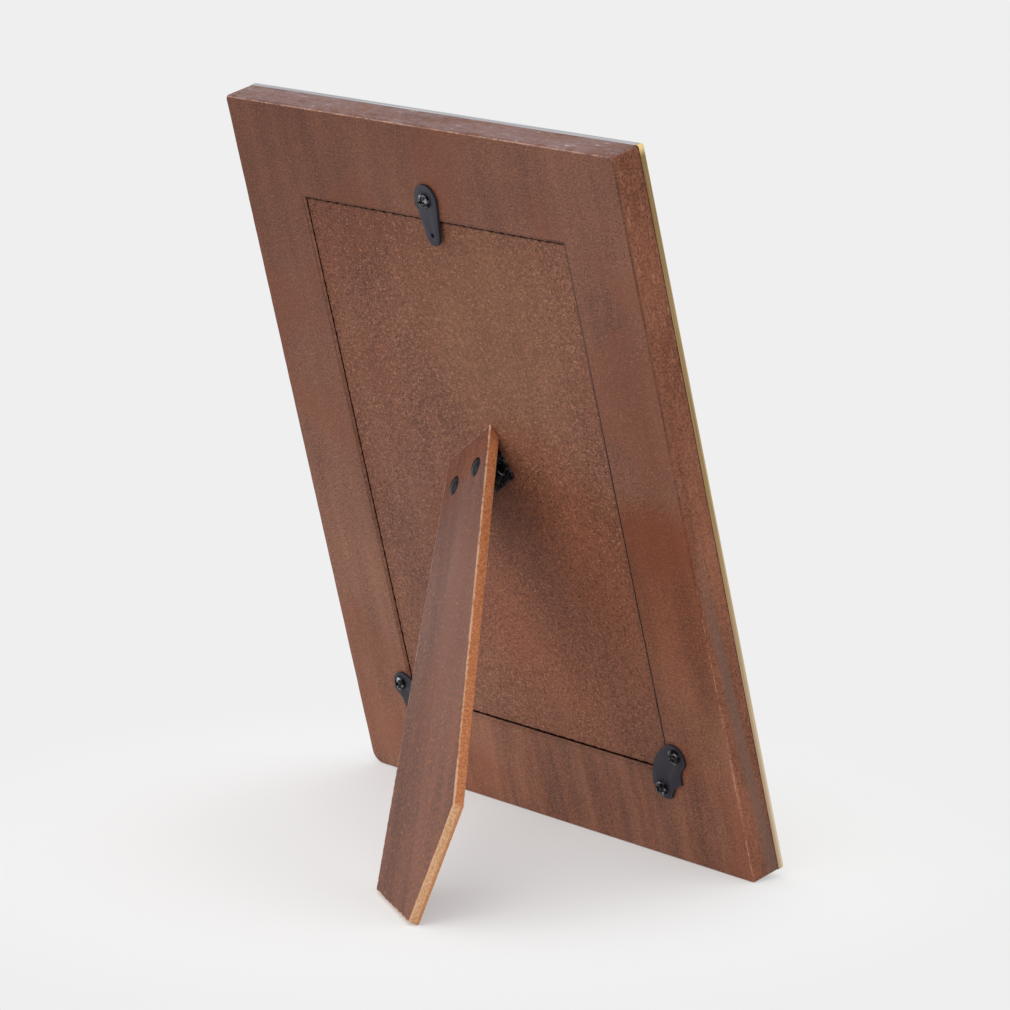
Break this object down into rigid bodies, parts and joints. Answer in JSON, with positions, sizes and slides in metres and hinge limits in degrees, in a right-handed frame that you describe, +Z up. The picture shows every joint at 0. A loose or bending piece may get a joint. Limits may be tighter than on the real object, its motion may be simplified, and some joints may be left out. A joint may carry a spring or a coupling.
{
  "type": "easel back photo frame",
  "caption": "Stained wood photo frame with a brass face, a loose back panel held by a turn button and corner plates, and a hinged easel leg that stands it upright.",
  "frame": {"origin": "on the ground under the middle of the whole box, with the frame standing on its leg", "axes": "+Z up, the picture side faces -Y and leans back by 14.3 degrees, X across the frame's width"},
  "size_m": [0.195, 0.1246, 0.2369],
  "materials": {
    "stained_board": "satin walnut stain",
    "stained_panel": "matte walnut stain",
    "stained_leg": "satin walnut stain",
    "brass_face": "brushed satin",
    "glazing": "clear",
    "insert_card": "matte",
    "black_hardware": "satin black",
    "black_screws": "black oxide"
  },
  "bodies": {
    "root": {"frame_body": "stained_board", "front_fascia": "brass_face", "glass_pane": "glazing", "picture_insert": "insert_card", "back_panel": "stained_panel", "hinge_panel_leaf": "black_hardware", "hinge_pin": "black_hardware", "panel_rivets": "black_hardware", "turn_button_screw": "black_screws", "corner_plate_left": "black_hardware", "corner_plate_right": "black_hardware", "corner_plate_screws": "black_screws"},
    "leg": {"easel_leg": "stained_leg", "hinge_leg_leaf": "black_hardware", "leg_rivets": "black_hardware"},
    "button": {"turn_button": "black_hardware"}
  },
  "joints": [
    {"name": "leg_hinge", "type": "hinge", "parent": "root", "child": "leg", "pos_m": [-0.00018, -0.01853, 0.12125], "axis": [-0.8415, 0.133, 0.5236], "range_deg": [0, 40]},
    {"name": "button_turn", "type": "hinge", "parent": "root", "child": "button", "pos_m": [-0.0014, 0.00345, 0.20981], "axis": [0, 0.9692, -0.2463], "continuous": true}
  ]
}
